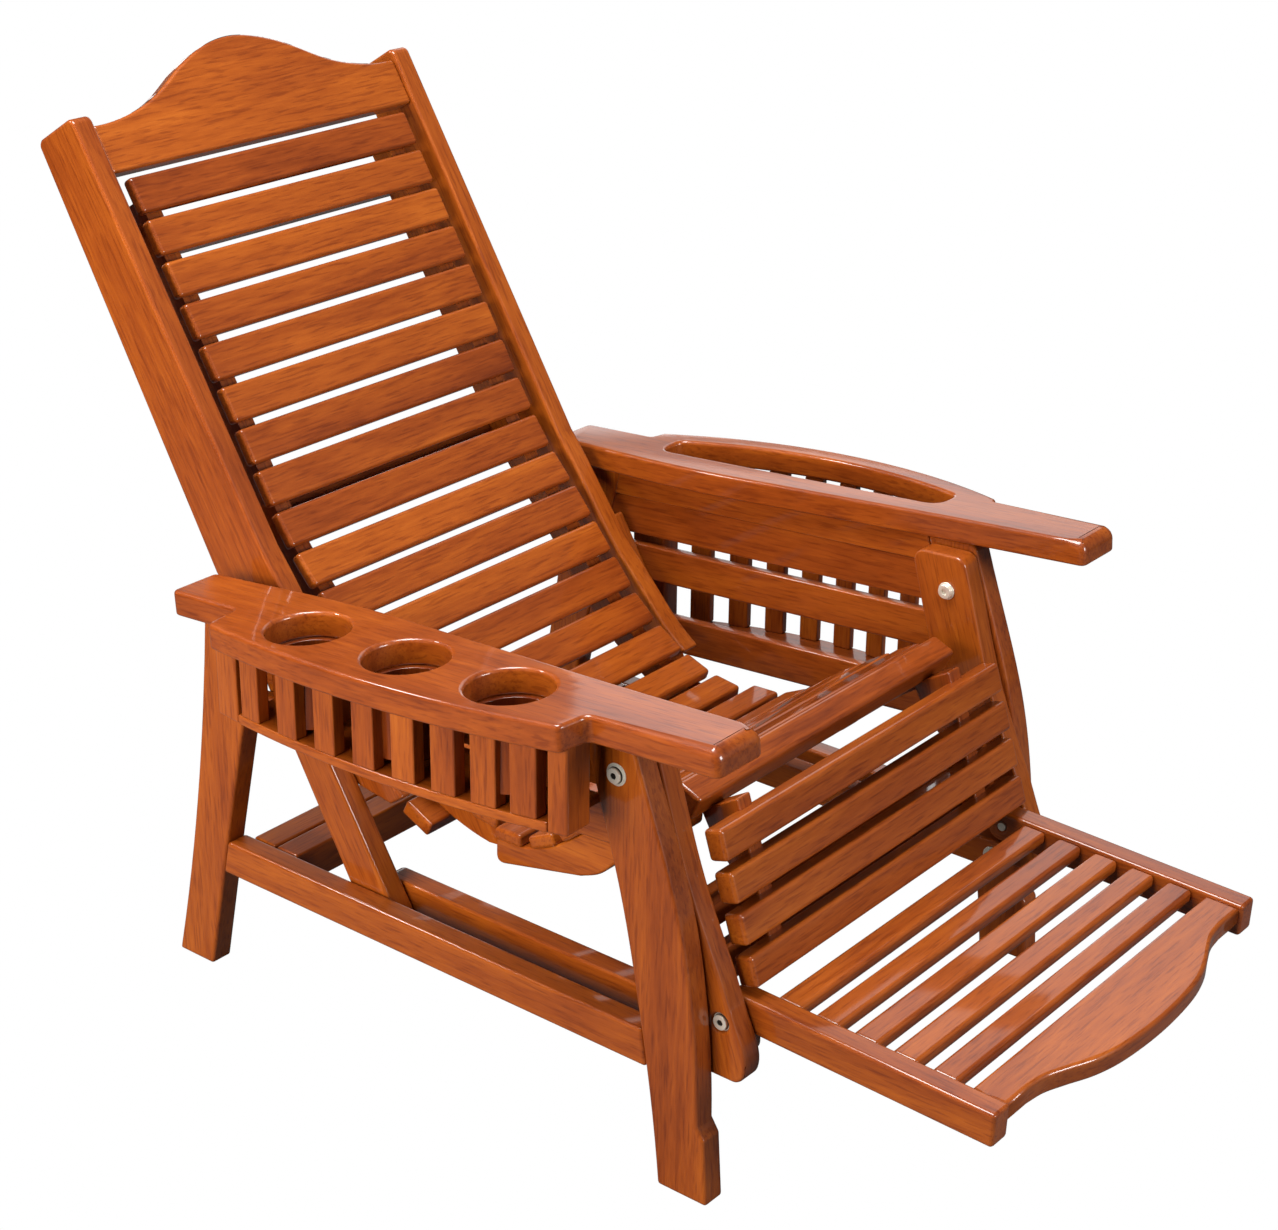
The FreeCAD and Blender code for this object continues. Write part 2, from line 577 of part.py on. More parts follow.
for distance in BATTEN_PLACES:
    place, way = walk(surface, start, distance)
    depth = SLAT_T + BEARER_DEPTH
    middle = (place.y - depth * way.z, place.z + depth * way.y)
    battens.append(slat(middle, math.atan2(-way.z, -way.y), BATTEN_W, BATTEN_T, STILE_IN))
nodes["back_battens"] = Part.makeCompound(battens)
nodes["seat_hinge_pins"] = pair(pin(SEAT_PIVOT, bearer_in, BEARER_OUT + PLAY + SEAT_RAIL_T, PIVOT_R))

# Seat. The knee slat is turned forwards and rides on the sloping tops of the calf bearers.
knee_way = (math.cos(KNEE_TILT), math.sin(KNEE_TILT))
knee_under = (KNEE[0] + KNEE_T * knee_way[1], KNEE[1] - KNEE_T * knee_way[0])
knee_heel = (knee_under[0] - KNEE_W / 2 * knee_way[0], knee_under[1] - KNEE_W / 2 * knee_way[1])
seat_slats.append(slat(KNEE, KNEE_TILT, KNEE_W, KNEE_T, SEAT_SLAT_HALF))
nodes["seat_slats"] = Part.makeCompound(seat_slats)
rail_top = offset_points(back_end + 4, surface.length() - 1, SLAT_T, 9)
rail_end = (rail_top[0][0] + 1.0, rail_top[0][1] - SEAT_RAIL_DEPTH)
rail_knee = [(knee_under[0] + t * knee_way[0], knee_under[1] + t * knee_way[1]) for t in (9.0, -11.0)]
rail_chin = (rail_knee[1][0] + 2.0, rail_knee[1][1] - 20.0)
rail_edges = [spline(rail_top), line(rail_top[-1], rail_knee[0]), line(rail_knee[0], rail_knee[1]),
              line(rail_knee[1], rail_chin), spline([rail_chin] + SEAT_RAIL_BELLY + [rail_end]),
              line(rail_end, rail_top[0])]
seat_rail = side_piece(rail_edges, BEARER_OUT + PLAY, BEARER_OUT + PLAY + SEAT_RAIL_T)
seat_rail = round_corners(seat_rail, 10.0, [rail_end])
for shape in seat_slats:
    seat_rail = seat_rail.cut(shape)
nodes["seat_rails"] = pair(seat_rail.cut(seat_joint))

# Leg rest
foot_hole = pin(FOOT_PIVOT, STILE_IN - 1, LINK_OUT + 1, PIVOT_R)
rod_front = (ROD_FRONT_Y, ROD_Z)
link_front_foot = (LINK_FRONT[0][0] + 6, LINK_BOTTOM_Z)
link_rear_foot = (LINK_REAR[0][0] - 4, LINK_BOTTOM_Z)
link_front_top = (LINK_FRONT[-1][0] + 4, LINK_TOP_Z)
link_rear_top = (LINK_REAR[-1][0] + 6, LINK_TOP_Z - 3)
link = side_piece([spline([link_front_foot] + LINK_FRONT + [link_front_top]), line(link_front_top, link_rear_top),
                   spline([link_rear_foot] + LINK_REAR + [link_rear_top]),
                   line(link_rear_foot, link_front_foot)], LINK_IN, LINK_OUT)
link = round_corners(link, 14.0, [link_front_top, link_rear_top, link_front_foot, link_rear_foot])
link = link.cut(pin(ARM_PIVOT, LINK_IN - 1, LINK_OUT + 1, PIVOT_R + PIVOT_CLEARANCE))
head_recess = pin(FOOT_PIVOT, LINK_OUT - HEAD_H - SEAT_GAP, LINK_OUT + 1, HEAD_R + SEAT_GAP)
link = link.cut(foot_hole).cut(head_recess).cut(pin(rod_front, LINK_IN - 1, LINK_IN + 20, PIVOT_R))
nodes["leg_rest_arm_cup_side"] = mirrored(link)
nodes["leg_rest_arm_rack_side"] = link

calf_way = (math.sin(CALF_LEAN), math.cos(CALF_LEAN))


def on_calf(down, depth):
    """The point down the leg rest from its top arris, at a depth behind its front plane."""
    return (CALF_TOP[0] - down * calf_way[0] + depth * calf_way[1],
            CALF_TOP[1] - down * calf_way[1] - depth * calf_way[0])


slats = []
for k in range(CALF_SLATS):
    middle = on_calf(k * CALF_PITCH + CALF_SLAT_W / 2, 0)
    slats.append(slat(middle, math.pi / 2 - CALF_LEAN, CALF_SLAT_W, SLAT_T, CALF_HALF))
nodes["calf_slats"] = Part.makeCompound(slats)
calf_length = (CALF_SLATS - 1) * CALF_PITCH + CALF_SLAT_W
ride = (knee_heel[0], knee_heel[1] - SEAT_GAP)
ride_front = (ride[0] - 34.0, ride[1] + 34.0 * RIDE_SLOPE)
ride_rear = (ride[0] + 10.0, ride[1] - 10.0 * RIDE_SLOPE)
calf_bearer = side_polygon([on_calf(calf_length, SLAT_T), on_calf(0, SLAT_T), ride_front, ride_rear,
                            on_calf(26.0, SLAT_T + CALF_BEARER_DEPTH + 14.0),
                            on_calf(50.0, SLAT_T + CALF_BEARER_DEPTH),
                            on_calf(calf_length, SLAT_T + CALF_BEARER_DEPTH)], bearer_in, BEARER_OUT)
nodes["calf_bearers"] = pair(calf_bearer)
rails = []
for down in CALF_RAIL_PLACES:
    middle = on_calf(down, SLAT_T + CALF_BEARER_DEPTH)
    rails.append(slat(middle, math.pi / 2 - CALF_LEAN, CALF_RAIL_W, CALF_RAIL_T, LINK_IN))
nodes["calf_cross_rails"] = Part.makeCompound(rails)

# Push rods
rod = side_polygon([(ROD_FRONT_Y - 20, ROD_Z - ROD_DEPTH / 2), (ROD_REAR_Y + 20, ROD_Z - ROD_DEPTH / 2),
                    (ROD_REAR_Y + 20, ROD_Z + ROD_DEPTH / 2), (ROD_FRONT_Y - 20, ROD_Z + ROD_DEPTH / 2)],
                   STILE_IN, STILE_IN + ROD_T)
rod = round_corners(rod, 15.0, [(y, ROD_Z + s * ROD_DEPTH / 2) for y in (ROD_FRONT_Y - 20, ROD_REAR_Y + 20)
                                for s in (-1, 1)])
rod = rod.cut(pin(rod_front, STILE_IN - 1, LINK_IN, PIVOT_R + ROD_HOLE_SLACK))
rod = rod.cut(pin(lever_foot, STILE_IN - 1, LINK_IN, PIVOT_R + PIVOT_CLEARANCE))
nodes["push_rods"] = pair(rod)


def cap(at, x_face, side):
    """A plain washer that keeps a piece on its pin, a hair off the face it guards."""
    return pin(at, min(x_face + side * SEAT_GAP, x_face + side * 3.0),
               max(x_face + side * SEAT_GAP, x_face + side * 3.0), 1.6 * PIVOT_R)


rod_rear_pin = pin(lever_foot, STILE_IN - 3, LINK_OUT, PIVOT_R).fuse(cap(lever_foot, STILE_IN, -1))
nodes["rod_rear_pins"] = pair(rod_rear_pin)
front_cap = pin(rod_front, STILE_IN - 3, STILE_IN - SEAT_GAP, PIVOT_R + ROD_HOLE_SLACK + 3)
nodes["rod_front_pins"] = pair(pin(rod_front, STILE_IN - 3, LINK_IN + 20, PIVOT_R).fuse(front_cap))

# Footrest, drawn level and then turned a little about its hinge
foot_y, foot_z = FOOT_PIVOT
half = FOOT_RAIL_DEPTH / 2
rail_corners = [(foot_y + half, foot_z - half), (foot_y + half, foot_z + half),
                (FOOT_RAIL_END_Y, foot_z + half), (FOOT_RAIL_END_Y, foot_z - half)]
foot_rail = side_polygon(rail_corners, STILE_IN, STILE_OUT)
foot_rail = round_corners(foot_rail, half - 1.0, rail_corners[:2])
foot_rail = foot_rail.cut(pin(FOOT_PIVOT, STILE_IN - 1, STILE_OUT + 1, PIVOT_R + PIVOT_CLEARANCE))
foot_top = foot_z + half - FOOT_SLAT_DROP
slats = []
for k in range(FOOT_SLATS):
    y = FOOT_FIRST_Y - k * FOOT_SLAT_PITCH - FOOT_SLAT_W / 2
    slats.append(slat((y, foot_top), 0.0, FOOT_SLAT_W, SLAT_T, STILE_IN))
ogee = [(-x, y) for x, y in FOOT_OGEE[:0:-1]] + FOOT_OGEE
board = [plan_spline(ogee)] + plan_lines([ogee[-1], (STILE_IN, FOOT_SHOULDER_Y), (STILE_IN, FOOT_BOARD_Y),
                                          (-STILE_IN, FOOT_BOARD_Y), (-STILE_IN, FOOT_SHOULDER_Y), ogee[0]])
end_board = plan_piece(board, foot_top - FOOT_BOARD_T, foot_top)
footrest = {"footrest_rails": pair(foot_rail), "footrest_slats": Part.makeCompound(slats),
            "footrest_end_board": end_board}
for name, shape in footrest.items():
    shape.rotate(point(FOOT_PIVOT), V(1, 0, 0), math.degrees(FOOT_TILT))
    nodes[name] = shape

# Bolts. The leg-rest arms hang on the front legs, the back on the middle side boards.
arm_bolt = pin(ARM_PIVOT, LINK_IN - SEAT_GAP, HALF_WIDTH, PIVOT_R)
arm_bolt = arm_bolt.fuse(bolt_head(ARM_PIVOT, HALF_WIDTH, 1)).fuse(bolt_head(ARM_PIVOT, LINK_IN - SEAT_GAP, -1))
nodes["arm_pivot_bolts"] = pair(arm_bolt)
board_face = LEG_IN + HEAVY_BOARD_T
back_bolt = pin(BACK_PIVOT, STILE_IN - SEAT_GAP, board_face, PIVOT_R)
back_bolt = back_bolt.fuse(bolt_head(BACK_PIVOT, board_face, 1)).fuse(bolt_head(BACK_PIVOT, STILE_IN - SEAT_GAP, -1))
nodes["back_pivot_bolts"] = pair(back_bolt)
foot_bolt = pin(FOOT_PIVOT, STILE_IN, LINK_OUT - HEAD_H - SEAT_GAP, PIVOT_R)
nodes["footrest_bolts"] = pair(foot_bolt.fuse(bolt_head(FOOT_PIVOT, LINK_OUT - HEAD_H - SEAT_GAP, 1)))

# The origin is on the floor under the middle of the whole chair
extent = Part.makeCompound(list(nodes.values())).optimalBoundingBox(False)
origin_y = (extent.YMin + extent.YMax) / 2
os.makedirs("parts", exist_ok=True)
for name, shape in nodes.items():
    shape.translate(V(0, -origin_y, 0))
    shape.exportStep("parts/" + name + ".step")
    if not shape.isValid():
        print("not valid:", name)
print(len(nodes), "nodes, origin", round(origin_y, 2), "mm behind the toes")
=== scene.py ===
import bpy
import bmesh
import json
import math
import random
from mathutils import Matrix, Vector


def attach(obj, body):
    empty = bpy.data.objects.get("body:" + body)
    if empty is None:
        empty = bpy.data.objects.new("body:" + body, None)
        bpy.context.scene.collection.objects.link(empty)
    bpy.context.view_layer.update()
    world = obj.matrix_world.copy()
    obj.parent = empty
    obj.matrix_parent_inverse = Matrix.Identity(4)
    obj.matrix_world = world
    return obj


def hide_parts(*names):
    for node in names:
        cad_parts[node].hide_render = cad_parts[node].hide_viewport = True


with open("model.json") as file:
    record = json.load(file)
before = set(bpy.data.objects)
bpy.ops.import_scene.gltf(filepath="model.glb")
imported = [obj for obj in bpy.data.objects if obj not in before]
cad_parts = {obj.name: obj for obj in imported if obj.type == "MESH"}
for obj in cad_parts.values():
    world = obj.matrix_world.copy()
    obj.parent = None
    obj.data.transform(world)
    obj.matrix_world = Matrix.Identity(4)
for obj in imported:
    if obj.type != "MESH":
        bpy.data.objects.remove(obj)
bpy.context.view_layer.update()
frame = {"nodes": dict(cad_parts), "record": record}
random.seed(7)

# Shapes are given in millimetres, with y from the toes of the front legs and z from the floor
MM = 0.001
TOES = 329.49                       # the toes lie this far in front of the frame's origin
X, Y, Z = Vector((1, 0, 0)), Vector((0, 1, 0)), Vector((0, 0, 1))

# Which way boards run
BACK = Vector((0, 0.52, 0.854))
CALF = Vector((0, 0.304, 0.953))
LEVER = Vector((0, 0.498, 0.867))
ARM = Vector((0, 0.9976, -0.0689))

BOARD_CORNER = math.radians(32)     # edges of boards that turn more than this are rounded over
BOLT_CORNER = math.radians(50)


def spot(x, y, z):
    """A point in millimetres from the toes, as the frame has it."""
    return Vector((x, y - TOES, z)) * MM


# Materials
MIX_A, MIX_B, MIX_RESULT = 6, 7, 2  # the colour sockets of a Mix node
WOOD_COLOURS = [(0.28, (0.12, 0.017, 0.0015)), (0.45, (0.25, 0.046, 0.004)),
                (0.60, (0.36, 0.078, 0.006)), (0.78, (0.50, 0.13, 0.012))]
PORE_TINT = (0.55, 0.42, 0.36, 1)
NICKEL = (0.92, 0.86, 0.72, 1)
# Painted shade for the inside of the bolts' sockets and a ring under their heads
PAINTED_SHADE_COLOUR = (0.03, 0.025, 0.02, 1)


def node(tree, kind, **values):
    """A new node. Each value sets a property of it or, where it has none of that name, an input."""
    made = tree.nodes.new(kind)
    for name, value in values.items():
        if hasattr(made, name):
            setattr(made, name, value)
        else:
            made.inputs[name.replace("_", " ")].default_value = value
    return made


def maths(tree, operation, *values):
    """The result of a Math node, from numbers and other nodes' outputs."""
    made = node(tree, "ShaderNodeMath", operation=operation)
    for socket, value in zip(made.inputs, values):
        if isinstance(value, bpy.types.NodeSocket):
            tree.links.new(value, socket)
        else:
            socket.default_value = value
    return made.outputs[0]


def ramp(tree, stops, value):
    """A colour from a ramp with the given places and colours."""
    made = tree.nodes.new("ShaderNodeValToRGB")
    elements = made.color_ramp.elements
    while len(elements) < len(stops):
        elements.new(0.5)
    for element, (place, colour) in zip(elements, stops):
        element.position = place
        element.color = (*colour, 1)
    tree.links.new(value, made.inputs["Fac"])
    return made.outputs["Color"]


def grain_group():
    """Colour, roughness and height of lacquered hardwood, read from each board's own coordinates:
    x runs along the grain. Tone shifts a whole board lighter or darker: at random, and on the cups
    as painted shade."""
    group = bpy.data.node_groups.new("hardwood_grain", "ShaderNodeTree")
    for name, kind in (("Colour", "Color"), ("Roughness", "Float"), ("Height", "Float")):
        group.interface.new_socket(name, in_out="OUTPUT", socket_type="NodeSocket" + kind)
    link = group.links.new
    out = group.nodes.new("NodeGroupOutput")
    place = node(group, "ShaderNodeAttribute", attribute_name="grain")
    tone_and_painted_shade = node(group, "ShaderNodeAttribute", attribute_name="tone_and_painted_shade")

    def stretched(scale, rough, detail, along, across, distortion=0.0):
        mapping = node(group, "ShaderNodeMapping", Scale=(along, across, across))
        link(place.outputs["Vector"], mapping.inputs["Vector"])
        noise = node(group, "ShaderNodeTexNoise", Scale=scale, Detail=detail, Roughness=rough,
                     Distortion=distortion)
        link(mapping.outputs["Vector"], noise.inputs["Vector"])
        return noise.outputs["Fac"]

    figure = stretched(5.0, 0.55, 4.0, 0.35, 3.2, 0.9)
    streaks = stretched(60.0, 0.65, 4.0, 0.30, 3.6)
    pores = stretched(260.0, 0.5, 2.0, 0.11, 1.5)
    patches = stretched(9.0, 0.5, 2.0, 0.8, 1.0)

    shade = maths(group, "MULTIPLY_ADD", figure, 0.52, maths(group, "MULTIPLY", streaks, 0.33))
    shade = maths(group, "MULTIPLY_ADD", patches, 0.15, shade)
    shade = maths(group, "ADD", shade, tone_and_painted_shade.outputs["Fac"])
    open_pores = ramp(group, [(0.34, (1, 1, 1)), (0.47, (0, 0, 0))], pores)
    pore_mask = maths(group, "MULTIPLY", open_pores, 0.6)
    darkened = node(group, "ShaderNodeMix", data_type="RGBA", blend_type="MULTIPLY")
    link(pore_mask, darkened.inputs["Factor"])
    link(ramp(group, WOOD_COLOURS, shade), darkened.inputs[MIX_A])
    darkened.inputs[MIX_B].default_value = PORE_TINT

    link(darkened.outputs[MIX_RESULT], out.inputs["Colour"])
    link(maths(group, "MULTIPLY_ADD", streaks, 0.16, 0.32), out.inputs["Roughness"])
    link(maths(group, "SUBTRACT", streaks, pore_mask), out.inputs["Height"])
    return group


def new_material(name):
    material = bpy.data.materials.new(name)
    material.use_nodes = True
    return material, material.node_tree, material.node_tree.nodes["Principled BSDF"]


def hardwood():
    material, tree, shader = new_material("lacquered_hardwood")
    grain = tree.nodes.new("ShaderNodeGroup")
    grain.node_tree = grain_group()
    bump = node(tree, "ShaderNodeBump", Strength=0.10, Distance=0.0006)
    tree.links.new(grain.outputs["Colour"], shader.inputs["Base Color"])
    tree.links.new(grain.outputs["Roughness"], shader.inputs["Roughness"])
    tree.links.new(grain.outputs["Height"], bump.inputs["Height"])
    tree.links.new(bump.outputs["Normal"], shader.inputs["Normal"])
    shader.inputs["Coat Weight"].default_value = 1.0
    shader.inputs["Coat Roughness"].default_value = 0.07
    shader.inputs["Specular IOR Level"].default_value = 0.3
    return material


def pale_metal():
    """Nickel, painted dark as shade where an attribute marks a socket or the ring under a head."""
    material, tree, shader = new_material("pale_nickel")
    shader.inputs["Metallic"].default_value = 0.6
    painted_shade = node(tree, "ShaderNodeAttribute", attribute_name="painted_shade")
    tint = node(tree, "ShaderNodeMix", data_type="RGBA")
    tint.inputs[MIX_A].default_value = NICKEL
    tint.inputs[MIX_B].default_value = PAINTED_SHADE_COLOUR
    tree.links.new(painted_shade.outputs["Fac"], tint.inputs["Factor"])
    tree.links.new(tint.outputs[MIX_RESULT], shader.inputs["Base Color"])
    place = node(tree, "ShaderNodeTexCoord")
    noise = node(tree, "ShaderNodeTexNoise", Scale=900.0, Detail=3.0)
    tree.links.new(place.outputs["Object"], noise.inputs["Vector"])
    spread = node(tree, "ShaderNodeMapRange", To_Min=0.24, To_Max=0.42)
    tree.links.new(noise.outputs["Fac"], spread.inputs["Value"])
    tree.links.new(spread.outputs["Result"], shader.inputs["Roughness"])
    return material


WOOD = hardwood()
METAL = pale_metal()


# Making pieces
def islands(bm):
    """Groups of connected vertices, one group per board, in a fixed order."""
    left, groups = set(bm.verts), []
    while left:
        stack, group = [left.pop()], []
        while stack:
            vert = stack.pop()
            group.append(vert)
            for edge in vert.link_edges:
                other = edge.other_vert(vert)
                if other in left:
                    left.remove(other)
                    stack.append(other)
        groups.append(group)
    groups.sort(key=lambda g: tuple(round(c, 4) for c in sum((v.co for v in g), Vector()) / len(g)))
    return groups


def merged(name):
    """A copy of a frame node's mesh with whole faces instead of loose triangles."""
    bm = bmesh.new()
    bm.from_mesh(frame["nodes"][name].data)
    bmesh.ops.remove_doubles(bm, verts=bm.verts, dist=1e-5)
    bmesh.ops.dissolve_limit(bm, angle_limit=math.radians(0.6), verts=bm.verts, edges=bm.edges)
    return bm


def round_over(bm, edges, radius, segments=3, clamp=False):
    bmesh.ops.bevel(bm, geom=edges, offset=radius * MM, offset_type="OFFSET", affect="EDGES",
                    segments=segments, profile=0.5, material=-1, clamp_overlap=clamp)


def write_grain(bm, grain, spread, shade):
    """Each board gets its own grain coordinates, with x along it, and its own tone: a random
    spread around shade, which darkens a whole piece as painted shade.
    """
    place = bm.verts.layers.float_vector.new("grain")
    tone_and_painted_shade = bm.verts.layers.float.new("tone_and_painted_shade")
    along = grain.normalized()
    across = along.cross(Z if abs(along.z) < 0.7 else X).normalized()
    up = along.cross(across)
    for group in islands(bm):
        shift = Vector([random.uniform(-3, 3) for _ in range(3)])
        value = shade + random.uniform(-spread, spread)
        for vert in group:
            vert[place] = Vector((vert.co.dot(along), vert.co.dot(across), vert.co.dot(up))) + shift
            vert[tone_and_painted_shade] = value


def add_object(name, data):
    made = bpy.data.objects.new(name, data)
    bpy.context.scene.collection.objects.link(made)
    return made


def finish_piece(bm, name, material):
    """The piece that takes the place of the frame's node of this name."""
    for face in bm.faces:
        face.smooth = True
    mesh = bpy.data.meshes.new("piece_" + name)
    bm.to_mesh(mesh)
    bm.free()
    mesh.materials.append(material)
    piece = add_object("piece_" + name, mesh)
    normals = piece.modifiers.new("even_faces", "WEIGHTED_NORMAL")
    normals.keep_sharp = True
    body = next(b for b, names in frame["record"]["behaviour"]["bodies"].items() if name in names)
    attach(piece, body)
    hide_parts(name)


def finish_wood(bm, name, grain, spread=0.05, shade=0.0):
    write_grain(bm, grain, spread, shade)
    finish_piece(bm, name, WOOD)


def timber(bm, name, grain, radius):
    """Sawn boards with their edges rounded over. On thin boards, which take a small radius, the
    rounding stops where it would run into the next one."""
    edges = [e for e in bm.edges if e.is_manifold and e.calc_face_angle(0) > BOARD_CORNER]
    round_over(bm, edges, radius, clamp=radius < 3)
    finish_wood(bm, name, grain)


def slats(name, radius=4.5, fits=None):
    """Boards across the chair, each a rounded bar that fills its solid. For a board's number, fits
    says how far it moves up the calf, how much deeper it is and how many degrees it turns."""
    source = merged(name)
    bm = bmesh.new()
    for k, group in enumerate(islands(source)):
        lift, deeper, tilt = (fits or {}).get(k, (0, 0, 0))
        faces = {f for v in group for f in v.link_faces}
        top = max(faces, key=lambda f: f.calc_area()).normal.copy()
        if top.dot(Z - Y) < 0:
            top.negate()
        way = X.cross(top).normalized()
        turn = Matrix((X, way, top)).transposed()
        low = [min(v.co.dot(a) for v in group) for a in (X, way, top)]
        high = [max(v.co.dot(a) for v in group) for a in (X, way, top)]
        size = Vector([b - a for a, b in zip(low, high)])
        middle = turn @ Vector([(a + b) / 2 for a, b in zip(low, high)])
        middle += CALF.normalized() * lift * MM - top * deeper / 2 * MM
        size.z += deeper * MM
        turn = Matrix.Rotation(math.radians(tilt), 3, "X") @ turn
        place = Matrix.Translation(middle) @ turn.to_4x4() @ Matrix.Diagonal((*size, 1))
        bar = bmesh.ops.create_cube(bm, size=1.0, matrix=place)
        round_over(bm, list({e for v in bar["verts"] for e in v.link_edges}), radius, 4)
    source.free()
    finish_wood(bm, name, X, spread=0.045)


def drawn(bm, name, grain, radius=0.0, spread=0.05, shade=0.0):
    """Finishes boards that are drawn here instead of taken from the frame."""
    bmesh.ops.recalc_face_normals(bm, faces=bm.faces)
    if radius:
        edges = [e for e in bm.edges if e.calc_face_angle(0) > BOARD_CORNER]
        round_over(bm, edges, radius, clamp=True)
    finish_wood(bm, name, grain, spread, shade)


# Outlines
def curve(points, steps=8):
    """A smooth line through the points."""
    points = [Vector(p) for p in points]
    ends = [2 * points[0] - points[1]] + points + [2 * points[-1] - points[-2]]
    line = []
    for a, b, c, d in zip(ends, ends[1:], ends[2:], ends[3:]):
        for k in range(steps):
            t = k / steps
            line.append(0.5 * (2 * b + (c - a) * t + (2 * a - 5 * b + 4 * c - d) * t ** 2
                               + (3 * b - a - 3 * c + d) * t ** 3))
    return [tuple(p) for p in line] + [tuple(points[-1])]


def eased(ring, radii, steps=8):
    """A ring with rounded corners; radii gives the radius at the numbers of the corners."""
    made = []
    for k, point in enumerate(ring):
        if k not in radii:
            made.append(tuple(point))
            continue
        here = Vector(point)
        back = (Vector(ring[k - 1]) - here).normalized()
        on = (Vector(ring[(k + 1) % len(ring)]) - here).normalized()
        reach = radii[k] / math.tan(back.angle(on) / 2)
        for n in range(steps + 1):
            t = n / steps
            made.append(tuple(here + back * reach * (1 - t) ** 2 + on * reach * t ** 2))
    return made


def circle(x, y, radius, count=72):
    return [(x + radius * math.cos(math.tau * k / count), y + radius * math.sin(math.tau * k / count))
            for k in range(count)]


def insets(ring, inward):
    """Unit steps into the wood at each point of a ring, longer at its corners."""
    area = sum(a[0] * b[1] - b[0] * a[1] for a, b in zip(ring, ring[1:] + ring[:1]))
    sign = inward * (1 if area > 0 else -1)
    steps = []
    for before, here, after in zip(ring[-1:] + ring[:-1], ring, ring[1:] + ring[:1]):
        ways = [(Vector(q) - Vector(p)).normalized() for p, q in ((before, here), (here, after))]
        normals = [Vector((-w.y, w.x)) * sign for w in ways]
        middle = (normals[0] + normals[1]).normalized()
        steps.append(middle / max(0.5, middle.dot(normals[0])))
    return steps


def rimmed(bm, outline, holes, thickness, lower, upper, place, steps=6):
    """A flat board whose rims are rounded by the radius lower below and, at each point, upper(point)
    above. place puts a point of the flat drawing on the chair."""
    quarter = [math.pi / 2 * k / steps for k in range(steps + 1)]
    caps = ([], [])
    for ring, inward in [(outline, 1)] + [(hole, -1) for hole in holes]:
        ways = insets(ring, inward)
        layers = [[(p, w, lower * (1 - math.sin(a)), -thickness + lower * (1 - math.cos(a)))
                   for p, w in zip(ring, ways)] for a in quarter]
        layers += [[(p, w, upper(p) * (1 - math.cos(a)), -upper(p) * (1 - math.sin(a)))
                    for p, w in zip(ring, ways)] for a in quarter]
        rows = [[bm.verts.new(place(p[0] + w.x * d, p[1] + w.y * d, z)) for p, w, d, z in layer]
                for layer in layers]
        for low, high in zip(rows, rows[1:]):
            for k in range(len(ring)):
                j = (k + 1) % len(ring)
                bm.faces.new((low[k], low[j], high[j], high[k]))
        for cap, row in zip(caps, (rows[0], rows[-1])):
            cap += [bm.edges.get((row[k - 1], row[k])) for k in range(len(row))]
    for cap in caps:
        bmesh.ops.triangle_fill(bm, use_beauty=True, edges=cap)


def prism(bm, low, high):
    """A closed board between two rings of points."""
    rings = [[bm.verts.new(p) for p in ring] for ring in (low, high)]
    for k in range(len(low)):
        j = (k + 1) % len(low)
        bm.faces.new((rings[0][k], rings[0][j], rings[1][j], rings[1][k]))
    bm.faces.new(rings[0][::-1])
    bm.faces.new(rings[1])


# Armrests. Each falls to the rear, and its outer side bows out in a bulge between two notches
ARM_FALL = math.radians(3.95)
ARM_HEIGHT, ARM_T = 524.5, 28.0
NOSE_X, NOSE_Y = 353.0, -29.0       # the outer corner at the front
TAIL_X, TAIL_Y = 343.0, 705.0       # and at the rear
NOTCH_FRONT, NOTCH_REAR = 122.0, 605.0
INNER_EDGE = [(286.0, NOSE_Y), (280.5, 150.0), (271.0, 340.0), (265.5, 510.0), (280.0, TAIL_Y)]
BULGE_FRONT, BULGE_REAR, BULGE_MAX = 127.0, 600.0, 408.0
CUP_RISE, SLOT_RISE = 20.5, 47.0    # how far each bulge stands out beyond its corners
LOWER_RIM, ARM_RIM, NOSE_RIM = 3.0, 4.5, 14.0
NOSE_RIM_Y, NOSE_RIM_RUN = -4.0, 22.0
SLOT_FRONT, SLOT_REAR, SLOT_WALL = 171.0, 563.0, 27.0
CUP_X, HOLE_R = 340.0, 44.0
CUPS = (("cup_front", 228.0), ("cup_middle", 363.0), ("cup_rear", 500.0))
# Distances from the well's axis and heights above the arm's top face
WELL_PROFILE = [(0, -92), (38, -92), (38, -28.2), (45.5, -28.2), (45.5, -31), (40.5, -31), (40.5, -95),
                (0, -95)]


def on_arm(x, y, z):
    """From the flat drawing of an armrest, top face at z = 0, to its place on the chair."""
    return spot(x, y * math.cos(ARM_FALL) + z * math.sin(ARM_FALL),
                ARM_HEIGHT - y * math.sin(ARM_FALL) + z * math.cos(ARM_FALL))


def arm_underside(y):
    return ARM_HEIGHT - y * math.tan(ARM_FALL) - ARM_T / math.cos(ARM_FALL)


def bulge_x(rise, y, inset=0.0):
    half = (BULGE_REAR - BULGE_FRONT) / 2
    radius = (half ** 2 + rise ** 2) / (2 * rise)
    return BULGE_MAX - radius + math.sqrt((radius - inset) ** 2 - (y - BULGE_FRONT - half) ** 2)


def bulge(rise, y_from, y_to, inset=0.0, steps=28):
    ys = [y_from + (y_to - y_from) * k / steps for k in range(steps + 1)]
    return [(bulge_x(rise, y, inset), y) for y in ys]


def nose_rim(point):
    """The top rim's radius, which grows over the last part of the nose."""
    t = min(1.0, max(0.0, (NOSE_RIM_Y - point[1]) / NOSE_RIM_RUN))
    return ARM_RIM + (NOSE_RIM - ARM_RIM) * t * t * (3 - 2 * t)


